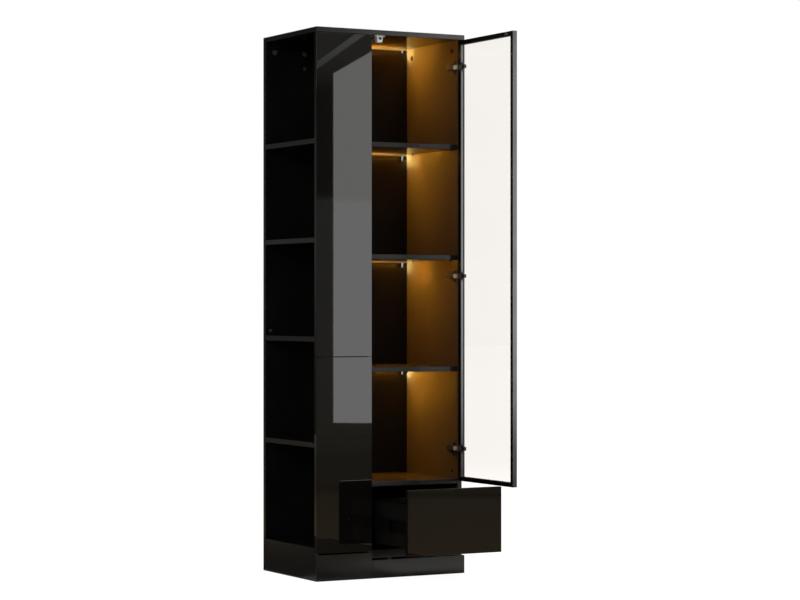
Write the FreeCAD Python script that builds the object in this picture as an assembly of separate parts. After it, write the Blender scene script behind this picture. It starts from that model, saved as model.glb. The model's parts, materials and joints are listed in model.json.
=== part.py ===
import FreeCAD, Part
import os
from FreeCAD import Vector

# Tall bookcase: a cabinet with a framed glass door and a drawer, and beside it a narrow shelf
# unit that opens to the left. Layout coordinates: x from the left face, y from the front plane
# towards the wall, z from the floor, in millimetres. The exported frame has its origin on the
# floor, at the centre of the carcass footprint.
# The door is drawn closed and the drawer is drawn shut. Both are exported at the rest pose,
# door open and drawer pulled out.

# ---- driving dimensions ----
WIDTH = 554.0
DEPTH = 400.0
HEIGHT = 1800.0
BOARD = 16.0                       # carcass and shelf boards
FRONT = 16.0                       # front panels, drawer front and door frame depth
BUMPER_GAP = 2.0                   # air between a closed front and the carcass
SPLIT_X = 204.0                    # middle of the seam between side unit and cabinet
REVEAL = 2.0                       # gap between neighbouring fronts
EDGE_ROUND = 0.7                   # broken edges of the boards

SIDE_FLOOR_TOP = 108.0
SIDE_SHELF_TOPS = (450.0, 794.0, 1116.0, 1438.0)
SIDE_PLINTH_DROP = 23.0            # from the side unit's floor down to its plinth's top
PLINTH_REVEAL = 5.0                # between that plinth and the lower front panel
PANEL_SEAM_Z = 728.0               # middle of the seam between the two front panels

CABINET_SHELF_TOPS = (692.0, 1064.0, 1434.0)
SHELF_END_GAP = 0.5                # play of a cabinet shelf at each end
CEILING_BOTTOM = 300.0             # board between drawer and door
BAY_FLOOR_TOP = 92.0
BAY_FLOOR_THICK = 28.0
CABINET_PLINTH_TOP = 60.0
BACK_RECESS = 14.0                 # cabinet back panel stands in front of the rear edges
PLINTH_JOINT = 0.5
PLINTH_CORNER_R = 4.0
SUPPORT_RAIL_INSET = 57.0          # from the divider to the rail under the cabinet
BACK_DOWELS = 4                    # along each edge of the back panel

# ---- door ----
DOOR_DRAWER_GAP = 3.5
DOOR_TOP_GAP = 2.0
FRAME_FACE = 15.0
FRAME_WALL = 1.5
GLASS_THICK = 4.0
GLASS_SEAT = 4.0                   # how deep the pane sits in its groove
GROOVE_DEPTH = 5.0
GROOVE_WIDTH = 5.0
GROOVE_FRONT = 2.0                 # metal in front of the groove
KEY_LEG = 26.0
KEY_PLAY = 0.1
PIVOT_FROM_EDGE = 5.0              # hinge axis, from the door's outer edge
PIVOT_FROM_FRONT = 6.0             # and from its front face
DOOR_REST_ANGLE = 90.0

# ---- hinges ----
HINGE_LOW_INSET = 108.5            # lowest hinge, from the door's lower edge
HINGE_MIDDLE_INSET = 685.5         # middle hinge, from the same edge
HINGE_TOP_INSET = 88.0             # highest hinge, from the door's upper edge
PIN_R = 1.5
PIN_PLAY = 0.05
KNUCKLE_R = 3.1
KNUCKLE_HALF = 12.2
STRAP_HALF = 7.0
STRAP_THICK = 2.0
STRAP_ANGLE = 145.0                # direction in which the strap leaves the axis
STRAP_REACH = 11.0
STRAP_WALL_GAP = 4.5               # from the side panel's inner face to the strap's middle
CUP_HALF = 16.0
CUP_EAR = 3.4
CUP_LEAF = 21.0                    # how far the cup's leaf reaches over the glass
CUP_LEAF_THICK = 2.2
CUP_LEAF_HALF = 6.0
CUP_PLAY = 0.25
CUP_END = 7.0
CUP_WEB = 0.9                      # between the ears, at the front of the chamber
CUP_BRIDGE_HALF = 2.0              # upright between the ears, beside the stile's inner face
PLATE_THICK = 3.0
PLATE_WING = 21.5
PLATE_WING_WIDTH = 12.0
PLATE_LENGTH = 58.0
PLATE_HALF = 8.5
PLATE_SETBACK = 9.0                # plate's front end behind the side panel's front edge
ARM_THICK = 8.0
ARM_HALF = 6.5
ARM_LENGTH = 50.0

# ---- touch latch ----
LATCH_INSET = 40.0                 # from the door's free edge
LATCH_SETBACK = 4.0                # body's face behind the carcass front
LATCH_WIDTH = 22.0
LATCH_HEIGHT = 21.0
LATCH_LENGTH = 20.0
LATCH_FLANGE = 7.5
LATCH_FLANGE_THICK = 2.0
PLUNGER_R = 4.0
PLUNGER_PLAY = 0.05
PLUNGER_LENGTH = 14.0
PLUNGER_TIP_GAP = 0.3              # from the plunger's tip to the strike of the closed door
LATCH_BORE_LENGTH = 16.0
STRIKE_WIDTH = 18.0
STRIKE_HEIGHT = 11.0
STRIKE_THICK = 1.0

# ---- drawer ----
DRAWER_COVER = 5.0                 # how far the drawer front covers the board above it
DRAWER_REST_TRAVEL = 241.4
BOX_FLOOR_GAP = 22.0               # under the box
BOX_TOP_GAP = 46.5                 # over the box
BOX_REAR_GAP = 24.0                # behind the box of the shut drawer
BOX_WALL = 12.0
BOX_FLOOR = 4.0
BOX_FLOOR_LIFT = 8.0
BOX_GROOVE = 6.0
BOX_DOWEL_LOW = 43.5               # dowels of the box, from its lower edge
BOX_DOWEL_HIGH = 29.0              # and from its upper edge
SLIDE_SPACE = 12.7
SLIDE_SETBACK = 2.0
SLIDE_REAR_GAP = 25.0              # behind the slides' outer members
SLIDE_RISE = 66.0                  # slide's middle above the box's lower edge
SLIDE_SCREW_INSET = 20.0
SLIDE_HALF = 22.5
SLIDE_METAL = 1.2
SLIDE_PLAY = 0.3
OUTER_LIP = 10.0
MIDDLE_WEB_AT = 3.6
MIDDLE_LIP = 7.4
INNER_LIP = 6.2

# ---- light ----
LED_WIDTH = 16.0
LED_HEIGHT = 5.0
LED_WALL = 1.2
LED_BACK_GAP = 2.0
LED_SIDE_GAP = 2.0
LED_TAPE_WIDTH = 10.0
LED_TAPE_THICK = 1.2
DIFFUSER_THICK = 1.5
FEED_WIDTH = 15.0
FEED_HEIGHT = 25.0
FEED_TOP_HEIGHT = 17.0             # the one under the top panel is shorter
FEED_WALL_GAP = 10.5               # from the strip and its feed end to the right side panel

# ---- fasteners ----
DOWEL_R = 4.0
DOWEL_FACE = 10.0                  # depth in a board's face
DOWEL_EDGE = 20.0                  # depth in a board's edge
HOLE_SPARE = 0.5                   # hole deeper than its dowel
DOWEL_INSET = 60.0                 # first dowel from a board's end
CAM_R = 7.5
CAM_DEPTH = 12.0
CAM_SETBACK = 33.0                 # cam centre below the board's end
CAM_FRONT_INSET = 38.5
CAM_BACK_INSET = 63.0
CAM_LEFT_INSET = 36.0
CAM_RIGHT_INSET = 47.5
BOLT_R = 3.0
BOLT_BITE = 10.0
CAP_R = 8.5
CAP_THICK = 1.2
CAP_STEM_R = 2.5
CAP_STEM = 6.0
SPARE_CAP_DROP = 49.5              # spare cap below the cam on the rear upright
SPARE_CAP_INSET = 20.0             # spare cap from the rear upright's left edge
SPARE_CAP_RISE = 16.0              # and above the second side shelf
LOW_CAP_RISE = 40.0                # cap above the underside of the drawer bay's ceiling
SHELF_PIN_R = 2.5
SHELF_PIN_DEPTH = 8.0
SHELF_PIN_REACH = 7.0
SHELF_PIN_INSET = 45.0
SCREW_R = 1.75
SCREW_LENGTH = 11.0
SCREW_HEAD_R = 3.5
SCREW_HEAD = 1.6
CUT_OVER = 1.0                     # how far a cutting block runs past the piece

# ---- derived places ----
CARCASS_FRONT = FRONT + BUMPER_GAP
TOP_UNDER = HEIGHT - BOARD
DIVIDER_X = SPLIT_X - BOARD / 2
CABINET_X0 = DIVIDER_X + BOARD
CABINET_X1 = WIDTH - BOARD
BACK_Y = DEPTH - BACK_RECESS - BOARD
REAR_Y = DEPTH - BOARD
SIDE_PLINTH_TOP = SIDE_FLOOR_TOP - SIDE_PLINTH_DROP
PANEL_BOTTOM = SIDE_PLINTH_TOP + PLINTH_REVEAL
SUPPORT_RAIL_X = CABINET_X0 + SUPPORT_RAIL_INSET
DRAWER_BOTTOM_Z = BAY_FLOOR_TOP
DRAWER_TOP_Z = CEILING_BOTTOM + DRAWER_COVER
DOOR_X0 = SPLIT_X + REVEAL / 2
DOOR_X1 = WIDTH - REVEAL / 2
DOOR_BOTTOM = DRAWER_TOP_Z + DOOR_DRAWER_GAP
DOOR_TOP = TOP_UNDER - DOOR_TOP_GAP
PIVOT = Vector(DOOR_X1 - PIVOT_FROM_EDGE, PIVOT_FROM_FRONT, 0)
HINGE_HEIGHTS = (DOOR_BOTTOM + HINGE_LOW_INSET, DOOR_BOTTOM + HINGE_MIDDLE_INSET,
                 DOOR_TOP - HINGE_TOP_INSET)
LATCH_X = DOOR_X0 + LATCH_INSET
BOX_BOTTOM_Z = BAY_FLOOR_TOP + BOX_FLOOR_GAP
BOX_TOP_Z = CEILING_BOTTOM - BOX_TOP_GAP
BOX_BACK = BACK_Y - BOX_REAR_GAP
SLIDE_Z = BOX_BOTTOM_Z + SLIDE_RISE
SLIDE_FRONT = CARCASS_FRONT + SLIDE_SETBACK
SLIDE_BACK = BACK_Y - SLIDE_REAR_GAP
LED_X1 = CABINET_X1 - FEED_WALL_GAP
UP = Vector(0, 0, 1)
ORIGIN_SHIFT = Vector(-WIDTH / 2, -DEPTH / 2, 0)

holes = {}                         # node name -> solids to cut from it
groups = {}                        # node name -> its many small solids


# ---- basic shapes ----
def block(x0, x1, y0, y1, z0, z1):
    return Part.makeBox(x1 - x0, y1 - y0, z1 - z0, Vector(x0, y0, z0))


def board(x0, x1, y0, y1, z0, z1):
    """A board with all its edges lightly broken."""
    shape = block(x0, x1, y0, y1, z0, z1)
    return shape.makeFillet(EDGE_ROUND, shape.Edges)


def rod(radius, start, direction, length):
    return Part.makeCylinder(radius, length, start, direction)


def prism(points, z0, z1):
    """A straight-sided solid over a plan outline."""
    ring = [Vector(x, y, z0) for x, y in points]
    return Part.Face(Part.makePolygon(ring + ring[:1])).extrude(Vector(0, 0, z1 - z0))


def fused(shapes):
    return shapes[0].multiFuse(shapes[1:]).removeSplitter() if len(shapes) > 1 else shapes[0]


def add_hole(node, tool):
    holes.setdefault(node, []).append(tool)


def add_to(group, shape):
    groups.setdefault(group, []).append(shape)


# ---- fasteners, each with the holes it needs ----
def dowel(face_node, edge_node, point, direction, group="dowels"):
    """Dowel across a butt joint; point is on the joint, direction points into the edge board."""
    axis = Vector(direction)
    start = point - axis * DOWEL_FACE
    add_to(group, rod(DOWEL_R, start, axis, DOWEL_FACE + DOWEL_EDGE))
    add_hole(face_node, rod(DOWEL_R, point, axis * -1, DOWEL_FACE + HOLE_SPARE))
    add_hole(edge_node, rod(DOWEL_R, point, axis, DOWEL_EDGE + HOLE_SPARE))


def cam_joint(node, point, inward):
    """Cam lock between an upright's top end and the top panel.

    point is on the upright's inner face, level with the joint; inward points out of that face
    into the room of the unit.
    """
    inward = Vector(inward)
    centre = point - UP * CAM_SETBACK
    disc = rod(CAM_R, centre, inward * -1, CAM_DEPTH)
    middle = centre - inward * (BOARD / 2)
    bolt = rod(BOLT_R, middle + UP * CAM_R, UP, CAM_SETBACK - CAM_R + BOLT_BITE)
    add_to("cam_discs", disc)
    add_to("cam_bolts", bolt)
    add_to("cover_caps", rod(CAP_R, centre, inward, CAP_THICK))
    add_hole(node, disc)
    add_hole(node, rod(BOLT_R, middle, UP, CAM_SETBACK))
    add_hole("top_panel", rod(BOLT_R, middle + UP * CAM_SETBACK, UP, BOLT_BITE + HOLE_SPARE))


def plain_cap(node, point, inward):
    """Cover cap with a stem in a small hole."""
    inward = Vector(inward)
    head = rod(CAP_R, point, inward, CAP_THICK)
    stem = rod(CAP_STEM_R, point, inward * -1, CAP_STEM)
    add_to("cover_caps", fused([head, stem]))
    add_hole(node, rod(CAP_STEM_R, point, inward * -1, CAP_STEM + HOLE_SPARE))


def shelf_pin(node, point, inward):
    """Round pin; its top touches the shelf's underside at point."""
    inward = Vector(inward)
    axis_point = point - UP * SHELF_PIN_R
    start = axis_point - inward * SHELF_PIN_DEPTH
    add_to("shelf_pins", rod(SHELF_PIN_R, start, inward, SHELF_PIN_DEPTH + SHELF_PIN_REACH))
    add_hole(node, rod(SHELF_PIN_R, axis_point, inward * -1, SHELF_PIN_DEPTH + HOLE_SPARE))


def screw(held, board_node, point, inward, group="hardware_screws"):
    """Pan-head screw; point is on the metal that it holds, inward points back at its head."""
    inward = Vector(inward)
    head = rod(SCREW_HEAD_R, point, inward, SCREW_HEAD)
    shank = rod(SCREW_R, point, inward * -1, SCREW_LENGTH)
    add_to(group, fused([head, shank]))
    for name in (held, board_node):
        add_hole(name, rod(SCREW_R, point, inward * -1, SCREW_LENGTH + HOLE_SPARE))


# ---- carcass ----
def side_unit():
    """Shelves, floor, rear upright and front panels of the unit that opens to the left."""
    nodes = {}
    inner_x = DIVIDER_X
    nodes["side_unit_floor"] = board(BOARD, inner_x, FRONT, DEPTH,
                                     SIDE_FLOOR_TOP - BOARD, SIDE_FLOOR_TOP)
    nodes["rear_upright"] = board(0, inner_x, REAR_Y, DEPTH, SIDE_FLOOR_TOP, TOP_UNDER)
    seam = REVEAL / 2
    panel_right = SPLIT_X - seam
    panel_top = TOP_UNDER - DOOR_TOP_GAP
    nodes["front_panel_lower"] = board(0, panel_right, 0, FRONT,
                                       PANEL_BOTTOM, PANEL_SEAM_Z - seam)
    nodes["front_panel_upper"] = board(0, panel_right, 0, FRONT,
                                       PANEL_SEAM_Z + seam, panel_top)
    levels = (SIDE_FLOOR_TOP,) + SIDE_SHELF_TOPS
    for number, top in enumerate(levels):
        name = "side_unit_floor" if number == 0 else f"side_shelf_{number}"
        middle = top - BOARD / 2
        if number:
            nodes[name] = board(0, inner_x, FRONT, REAR_Y, top - BOARD, top)
        panel = "front_panel_lower" if middle < PANEL_SEAM_Z else "front_panel_upper"
        for y in (FRONT + DOWEL_INSET, REAR_Y - DOWEL_INSET):
            dowel("centre_divider", name, Vector(inner_x, y, middle), (-1, 0, 0))
        for x in (DOWEL_INSET, inner_x - DOWEL_INSET):
            dowel(panel, name, Vector(x, FRONT, middle), (0, 1, 0))
            if number:
                dowel("rear_upright", name, Vector(x, REAR_Y, middle), (0, -1, 0))
    for x in (CAM_LEFT_INSET, inner_x - CAM_RIGHT_INSET):
        cam_joint("rear_upright", Vector(x, REAR_Y, TOP_UNDER), (0, -1, 0))
    plain_cap("rear_upright",
              Vector(inner_x - CAM_RIGHT_INSET, REAR_Y, TOP_UNDER - CAM_SETBACK - SPARE_CAP_DROP),
              (0, -1, 0))
    plain_cap("rear_upright",
              Vector(SPARE_CAP_INSET, REAR_Y, SIDE_SHELF_TOPS[1] + SPARE_CAP_RISE), (0, -1, 0))
    return nodes


def cabinet():
    """Divider, side, top, back and the boards of the glazed cabinet."""
    nodes = {}
    nodes["top_panel"] = board(0, WIDTH, 0, DEPTH, TOP_UNDER, HEIGHT)
    nodes["centre_divider"] = board(DIVIDER_X, CABINET_X0, CARCASS_FRONT, DEPTH, 0, TOP_UNDER)
    nodes["right_side_panel"] = board(CABINET_X1, WIDTH, CARCASS_FRONT, DEPTH, 0, TOP_UNDER)
    floor_bottom = BAY_FLOOR_TOP - BAY_FLOOR_THICK
    nodes["cabinet_back_panel"] = board(CABINET_X0, CABINET_X1, BACK_Y, BACK_Y + BOARD,
                                        floor_bottom, TOP_UNDER)
    nodes["drawer_bay_floor"] = board(CABINET_X0, CABINET_X1, CARCASS_FRONT, BACK_Y,
                                      floor_bottom, BAY_FLOOR_TOP)
    nodes["drawer_bay_ceiling"] = board(CABINET_X0, CABINET_X1, CARCASS_FRONT, BACK_Y,
                                        CEILING_BOTTOM, CEILING_BOTTOM + BOARD)
    fixed = {"drawer_bay_floor": BAY_FLOOR_TOP - BAY_FLOOR_THICK / 2,
             "drawer_bay_ceiling": CEILING_BOTTOM + BOARD / 2}
    for name, middle in fixed.items():
        for y in (CARCASS_FRONT + DOWEL_INSET, BACK_Y - DOWEL_INSET):
            dowel("centre_divider", name, Vector(CABINET_X0, y, middle), (1, 0, 0))
            dowel("right_side_panel", name, Vector(CABINET_X1, y, middle), (-1, 0, 0))
    back_middle = BACK_Y + BOARD / 2
    back_span = TOP_UNDER - floor_bottom - 2 * DOWEL_INSET
    for step in range(BACK_DOWELS):
        z = floor_bottom + DOWEL_INSET + back_span * step / (BACK_DOWELS - 1)
        dowel("centre_divider", "cabinet_back_panel",
              Vector(CABINET_X0, back_middle, z), (1, 0, 0))
        dowel("right_side_panel", "cabinet_back_panel",
              Vector(CABINET_X1, back_middle, z), (-1, 0, 0))
    for number, top in enumerate(CABINET_SHELF_TOPS, 1):
        nodes[f"cabinet_shelf_{number}"] = board(
            CABINET_X0 + SHELF_END_GAP, CABINET_X1 - SHELF_END_GAP, CARCASS_FRONT, BACK_Y,
            top - BOARD, top)
        for y in (CARCASS_FRONT + SHELF_PIN_INSET, BACK_Y - SHELF_PIN_INSET):
            shelf_pin("centre_divider", Vector(CABINET_X0, y, top - BOARD), (1, 0, 0))
            shelf_pin("right_side_panel", Vector(CABINET_X1, y, top - BOARD), (-1, 0, 0))
    for y in (CARCASS_FRONT + CAM_FRONT_INSET, DEPTH - CAM_BACK_INSET):
        cam_joint("right_side_panel", Vector(CABINET_X1, y, TOP_UNDER), (-1, 0, 0))
        cam_joint("centre_divider", Vector(CABINET_X0, y, TOP_UNDER), (1, 0, 0))
    plain_cap("right_side_panel",
              Vector(CABINET_X1, CARCASS_FRONT + CAM_FRONT_INSET,
                     CEILING_BOTTOM + LOW_CAP_RISE), (-1, 0, 0))
    return nodes


def base():
    """Plinth boards and the rails behind them."""
    nodes = {}
    joint = PLINTH_JOINT / 2
    front_left = block(0, SPLIT_X - joint, 0, FRONT, 0, SIDE_PLINTH_TOP)
    corner = [e for e in front_left.Edges
              if abs(e.Vertexes[0].X) < 1e-6 and abs(e.Vertexes[1].X) < 1e-6
              and abs(e.Vertexes[0].Y) < 1e-6 and abs(e.Vertexes[1].Y) < 1e-6]
    nodes["plinth_front_left"] = front_left.makeFillet(PLINTH_CORNER_R, corner)
    nodes["plinth_front_right"] = board(SPLIT_X + joint, WIDTH, 0, FRONT, 0,
                                        CABINET_PLINTH_TOP)
    nodes["plinth_side_left"] = board(0, BOARD, FRONT, DEPTH, 0, SIDE_FLOOR_TOP)
    floor_bottom = BAY_FLOOR_TOP - BAY_FLOOR_THICK
    side_rail = block(BOARD, DIVIDER_X, REAR_Y, DEPTH, 0, SIDE_FLOOR_TOP - BOARD)
    cabinet_rail = block(CABINET_X0, CABINET_X1, REAR_Y, DEPTH, 0, floor_bottom)
    nodes["plinth_rear_rails"] = [side_rail, cabinet_rail]
    nodes["plinth_support_rail"] = block(SUPPORT_RAIL_X, SUPPORT_RAIL_X + BOARD,
                                         FRONT, REAR_Y, 0, floor_bottom)
    middle = floor_bottom / 2
    dowel("plinth_front_right", "plinth_support_rail",
          Vector(SUPPORT_RAIL_X + BOARD / 2, FRONT, middle), (0, 1, 0))
    dowel("plinth_front_left", "plinth_side_left", Vector(BOARD / 2, FRONT, middle), (0, 1, 0))
    for y in (FRONT + DOWEL_INSET, REAR_Y - DOWEL_INSET):
        dowel("plinth_side_left", "side_unit_floor",
              Vector(BOARD, y, SIDE_FLOOR_TOP - BOARD / 2), (1, 0, 0))
    return nodes


# ---- light ----
def lights():
    """A lit strip under the top and under each cabinet shelf, with a feed end below its right end.

    The channel is an angle: a web under the board and a wall at the rear. The diffuser is the
    other angle, at the front and below, with the tape between them.
    """
    y1 = BACK_Y - LED_BACK_GAP
    y0 = y1 - LED_WIDTH
    rear_y = y1 - LED_WALL
    x0 = CABINET_X0 + LED_SIDE_GAP
    middle = (y0 + DIFFUSER_THICK + rear_y) / 2
    for under in [TOP_UNDER] + [top - BOARD for top in CABINET_SHELF_TOPS]:
        bottom = under - LED_HEIGHT
        web = under - LED_WALL
        feed_height = FEED_TOP_HEIGHT if under == TOP_UNDER else FEED_HEIGHT
        outside = block(x0, LED_X1, y0, y1, bottom, under)
        add_to("led_channels", outside.cut(block(x0, LED_X1, y0, rear_y, bottom, web)))
        add_to("led_tapes", block(x0, LED_X1, middle - LED_TAPE_WIDTH / 2,
                                  middle + LED_TAPE_WIDTH / 2, web - LED_TAPE_THICK, web))
        add_to("led_diffusers", fused([
            block(x0, LED_X1, y0, y0 + DIFFUSER_THICK, bottom, web),
            block(x0, LED_X1, y0, rear_y, bottom, bottom + DIFFUSER_THICK)]))
        add_to("led_feed_ends", block(LED_X1 - FEED_WIDTH, LED_X1, y0, y1,
                                      under - feed_height, bottom))


# ---- door, drawn closed ----
def ring(inset_out, inset_in, y0, y1):
    """Rectangular ring in the door's plane, between two insets from its outline."""
    outside = block(DOOR_X0 + inset_out, DOOR_X1 - inset_out, y0, y1,
                    DOOR_BOTTOM + inset_out, DOOR_TOP - inset_out)
    inside = block(DOOR_X0 + inset_in, DOOR_X1 - inset_in, y0, y1,
                   DOOR_BOTTOM + inset_in, DOOR_TOP - inset_in)
    return outside.cut(inside)


def mitred(points):
    """Wedge over an outline in the door's plane, as deep as the frame."""
    corners = [Vector(x, 0, z) for x, z in points]
    return Part.Face(Part.makePolygon(corners + corners[:1])).extrude(Vector(0, FRONT, 0))


def door():
    """Frame of four mitred grooved profiles, corner keys, pane, gasket and strike."""
    groove_out = FRAME_FACE - GROOVE_DEPTH
    groove_y1 = GROOVE_FRONT + GROOVE_WIDTH
    chamber_in = groove_out - FRAME_WALL
    frame = ring(0, FRAME_FACE, 0, FRONT)
    frame = frame.cut(ring(groove_out, FRAME_FACE, GROOVE_FRONT, groove_y1))
    frame = frame.cut(ring(FRAME_WALL, chamber_in, FRAME_WALL, FRONT - FRAME_WALL))
    x0, x1, z0, z1 = DOOR_X0, DOOR_X1, DOOR_BOTTOM, DOOR_TOP
    xi0, xi1, zi0, zi1 = x0 + FRAME_FACE, x1 - FRAME_FACE, z0 + FRAME_FACE, z1 - FRAME_FACE
    nodes = {
        "door_hinge_stile": frame.common(mitred([(x1, z0), (x1, z1), (xi1, zi1), (xi1, zi0)])),
        "door_free_stile": frame.common(mitred([(x0, z0), (x0, z1), (xi0, zi1), (xi0, zi0)])),
        "door_top_rail": frame.common(mitred([(x0, z1), (x1, z1), (xi1, zi1), (xi0, zi1)])),
        "door_bottom_rail": frame.common(mitred([(x0, z0), (x1, z0), (xi1, zi0), (xi0, zi0)])),
    }
    for z in HINGE_HEIGHTS:
        add_hole("door_hinge_stile", block(xi1 - CUT_OVER, x1 + CUT_OVER, groove_y1,
                                           FRONT + CUT_OVER, z - CUP_HALF, z + CUP_HALF))
    key_out = FRAME_WALL + KEY_PLAY
    key_in = chamber_in - KEY_PLAY
    band = ring(key_out, key_in, key_out, FRONT - key_out)
    for x in (x0, x1):
        for z in (z0, z1):
            add_to("door_corner_keys",
                   band.common(block(x - KEY_LEG, x + KEY_LEG, 0, FRONT,
                                     z - KEY_LEG, z + KEY_LEG)))
    glass_inset = FRAME_FACE - GLASS_SEAT
    glass_y = GROOVE_FRONT + (GROOVE_WIDTH - GLASS_THICK) / 2
    glass = block(x0 + glass_inset, x1 - glass_inset, glass_y, glass_y + GLASS_THICK,
                  z0 + glass_inset, z1 - glass_inset)
    nodes["door_glass"] = glass
    nodes["glass_gasket"] = ring(groove_out, FRAME_FACE, GROOVE_FRONT, groove_y1).cut(glass)
    strike_z = DOOR_TOP - FRAME_FACE / 2
    nodes["latch_strike"] = block(LATCH_X - STRIKE_WIDTH / 2, LATCH_X + STRIKE_WIDTH / 2,
                                  FRONT, FRONT + STRIKE_THICK,
                                  strike_z - STRIKE_HEIGHT / 2, strike_z + STRIKE_HEIGHT / 2)
    return nodes


# ---- hinges ----
def strap(points, z0, z1):
    """Bent flat bar through plan points."""
    pieces = []
    half = STRAP_THICK / 2
    for a, b in zip(points, points[1:]):
        along = b - a
        side = Vector(-along.y, along.x, 0).normalize() * half
        outline = [a + side, b + side, b - side, a - side]
        pieces.append(prism([(p.x, p.y) for p in outline], z0, z1))
        pieces.append(rod(half, Vector(b.x, b.y, z0), UP, z1 - z0))
    return fused(pieces)


def hinge_arm(z):
    """Knuckle on the axis, bent strap and arm body; fixed to the carcass."""
    turn = FreeCAD.Rotation(UP, STRAP_ANGLE)
    bend = PIVOT + turn.multVec(Vector(1, 0, 0)) * STRAP_REACH
    strap_x = CABINET_X1 - STRAP_WALL_GAP
    arm_y = CARCASS_FRONT + PLATE_SETBACK
    second = Vector(strap_x, bend.y + (bend.x - strap_x) / 2, 0)
    end = Vector(strap_x, arm_y + STRAP_THICK, 0)
    arm_x1 = CABINET_X1 - PLATE_THICK
    body = block(arm_x1 - ARM_THICK, arm_x1, arm_y, arm_y + ARM_LENGTH,
                 z - ARM_HALF, z + ARM_HALF)
    knuckle = rod(KNUCKLE_R, PIVOT + UP * (z - KNUCKLE_HALF), UP, 2 * KNUCKLE_HALF)
    flat = strap([PIVOT, bend, second, end], z - STRAP_HALF, z + STRAP_HALF)
    bore = rod(PIN_R + PIN_PLAY, PIVOT + UP * (z - KNUCKLE_HALF), UP, 2 * KNUCKLE_HALF)
    return fused([knuckle, flat, body]).cut(bore)


def hinge_plate(z):
    """Winged plate on the side panel, with its two screws."""
    x1 = CABINET_X1
    x0 = x1 - PLATE_THICK
    y0 = CARCASS_FRONT + PLATE_SETBACK
    spine = block(x0, x1, y0, y0 + PLATE_LENGTH, z - PLATE_HALF, z + PLATE_HALF)
    wing_y = y0 + PLATE_WING_WIDTH / 2
    wings = block(x0, x1, wing_y, wing_y + PLATE_WING_WIDTH, z - PLATE_WING, z + PLATE_WING)
    reach = (PLATE_WING + PLATE_HALF) / 2
    for side in (-1, 1):
        screw("hinge_plates", "right_side_panel",
              Vector(x0, wing_y + PLATE_WING_WIDTH / 2, z + side * reach), (-1, 0, 0))
    return fused([spine, wings])


def hinge_cup(z):
    """Two ears in the stile's pocket, tied by a web, with a leaf over the pane."""
    play = CUP_PLAY
    stile_x0 = DOOR_X1 - FRAME_FACE
    pocket_y0 = GROOVE_FRONT + GROOVE_WIDTH
    chamber_x0 = stile_x0 + GROOVE_DEPTH + FRAME_WALL + play
    chamber_x1 = DOOR_X1 - FRAME_WALL - play
    leaf_y1 = pocket_y0 + play + CUP_LEAF_THICK
    pieces = [block(chamber_x0, chamber_x1, FRAME_WALL, FRAME_WALL + CUP_WEB,
                    z - CUP_HALF, z + CUP_HALF)]
    for low in (z - CUP_HALF, z + CUP_HALF - CUP_EAR):
        high = low + CUP_EAR
        pieces.append(block(chamber_x0, chamber_x1, FRAME_WALL, FRONT - play, low, high))
        pieces.append(block(stile_x0 + play, DOOR_X1 - play, pocket_y0 + play, FRONT - play,
                            low, high))
    leaf_x0 = stile_x0 - CUP_LEAF
    pieces.append(block(stile_x0 - CUP_BRIDGE_HALF, stile_x0 + CUP_BRIDGE_HALF,
                        pocket_y0 + play, leaf_y1, z - CUP_HALF, z + CUP_HALF))
    pieces.append(block(leaf_x0, stile_x0, pocket_y0 + play, leaf_y1,
                        z - CUP_LEAF_HALF, z + CUP_LEAF_HALF))
    pieces.append(block(leaf_x0, leaf_x0 + CUP_END, pocket_y0 + play, FRONT - play,
                        z - CUP_LEAF_HALF, z + CUP_LEAF_HALF))
    bore = rod(PIN_R, PIVOT + UP * (z - CUP_HALF), UP, 2 * CUP_HALF)
    return fused(pieces).cut(bore)


def hinges():
    for z in HINGE_HEIGHTS:
        add_to("hinge_plates", hinge_plate(z))
        add_to("hinge_arms", hinge_arm(z))
        add_to("hinge_cups", hinge_cup(z))
        add_to("hinge_pins", rod(PIN_R, PIVOT + UP * (z - CUP_HALF), UP, 2 * CUP_HALF))


# ---- touch latch ----
def touch_latch():
    y0 = CARCASS_FRONT + LATCH_SETBACK
    y1 = y0 + LATCH_LENGTH
    axis_z = DOOR_TOP - FRAME_FACE / 2
    half = LATCH_WIDTH / 2
    body = block(LATCH_X - half, LATCH_X + half, y0, y1, TOP_UNDER - LATCH_HEIGHT, TOP_UNDER)
    flange_half = half + LATCH_FLANGE
    flange = block(LATCH_X - flange_half, LATCH_X + flange_half, y0, y1,
                   TOP_UNDER - LATCH_FLANGE_THICK, TOP_UNDER)
    bore = rod(PLUNGER_R + PLUNGER_PLAY, Vector(LATCH_X, y0, axis_z), Vector(0, 1, 0),
               LATCH_BORE_LENGTH)
    tip_y = FRONT + STRIKE_THICK + PLUNGER_TIP_GAP
    for side in (-1, 1):
        screw("touch_latch_body", "top_panel",
              Vector(LATCH_X + side * (half + LATCH_FLANGE / 2), (y0 + y1) / 2,
                     TOP_UNDER - LATCH_FLANGE_THICK), (0, 0, -1))
    return {
        "touch_latch_body": fused([body, flange]).cut(bore),
        "touch_latch_plunger": rod(PLUNGER_R, Vector(LATCH_X, tip_y, axis_z),
                                   Vector(0, 1, 0), PLUNGER_LENGTH),
    }


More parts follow.
